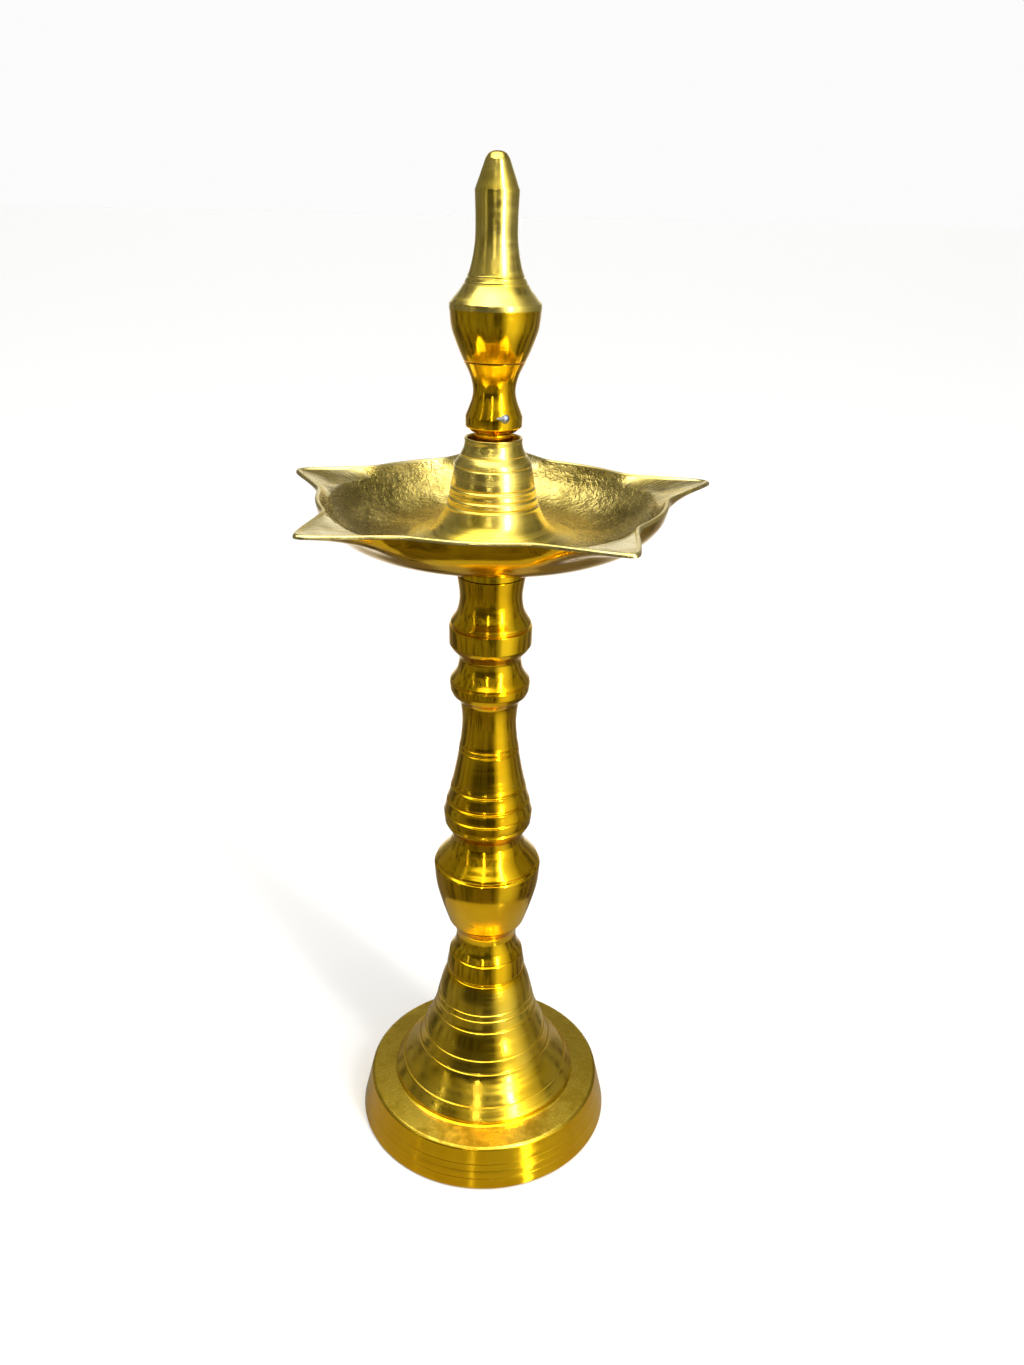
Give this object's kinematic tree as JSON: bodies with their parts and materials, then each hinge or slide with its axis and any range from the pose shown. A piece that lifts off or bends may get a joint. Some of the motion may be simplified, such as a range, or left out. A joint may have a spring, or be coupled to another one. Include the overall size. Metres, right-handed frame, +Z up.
{
  "type": "standing oil lamp",
  "caption": "Turned brass standing oil lamp (samai): heavy round foot, baluster stem, shallow oil dish with wick lips round its rim, and a pointed finial; the castings unscrew.",
  "frame": {"origin": "centre of the foot's underside, on the plane that the lamp stands on", "axes": "+Z up along the lamp's turned axis; -Y towards the viewer; one lip of the dish points 16 degrees from +X towards +Y"},
  "size_m": [0.1227, 0.1245, 0.305],
  "materials": {
    "brass_polished": "turned and polished, with fine lathe lines and light handling wear",
    "brass_brushed": "filed and brushed inside, with casting pits; polished outside",
    "brass_rod": "threaded rod, unpolished",
    "solder": "grey soft solder, smooth and dull"
  },
  "bodies": {
    "base": {"base": "brass_polished"},
    "stem_screw": {"stem_stud": "brass_rod"},
    "stem": {"stem": "brass_polished"},
    "dish_screw": {"dish_stud": "brass_rod"},
    "dish": {"dish": "brass_brushed"},
    "finial_screw": {"finial_stud": "brass_rod"},
    "finial_base": {"finial_base": "brass_polished", "solder_dab": "solder"},
    "cap_screw": {"cap_stud": "brass_rod"},
    "finial_cap": {"finial_cap": "brass_polished"}
  },
  "joints": [
    {"name": "stem_rise", "type": "slide", "parent": "base", "child": "stem_screw", "axis": [0, 0, 1], "range_m": [0, 0.0135]},
    {"name": "stem_turn", "type": "hinge", "parent": "stem_screw", "child": "stem", "pos_m": [0, 0, 0.0773], "axis": [0, 0, 1], "range_deg": [0, 3240]},
    {"name": "dish_rise", "type": "slide", "parent": "stem", "child": "dish_screw", "axis": [0, 0, 1], "range_m": [0, 0.012]},
    {"name": "dish_turn", "type": "hinge", "parent": "dish_screw", "child": "dish", "pos_m": [0, 0, 0.195], "axis": [0, 0, 1], "range_deg": [0, 2880]},
    {"name": "finial_rise", "type": "slide", "parent": "dish", "child": "finial_screw", "axis": [0, 0, 1], "range_m": [0, 0.009]},
    {"name": "finial_turn", "type": "hinge", "parent": "finial_screw", "child": "finial_base", "pos_m": [0, 0, 0.23], "axis": [0, 0, 1], "range_deg": [0, 2160]},
    {"name": "cap_rise", "type": "slide", "parent": "finial_base", "child": "cap_screw", "axis": [0, 0, 1], "range_m": [0, 0.0045]},
    {"name": "cap_turn", "type": "hinge", "parent": "cap_screw", "child": "finial_cap", "pos_m": [0, 0, 0.2544], "axis": [0, 0, 1], "range_deg": [0, 1080]}
  ],
  "couplings": [
    {"joint": "stem_turn", "follows": "stem_rise", "rad_per_m": 4188.8},
    {"joint": "dish_turn", "follows": "dish_rise", "rad_per_m": 4188.8},
    {"joint": "finial_turn", "follows": "finial_rise", "rad_per_m": 4188.8},
    {"joint": "cap_turn", "follows": "cap_rise", "rad_per_m": 4188.8}
  ]
}
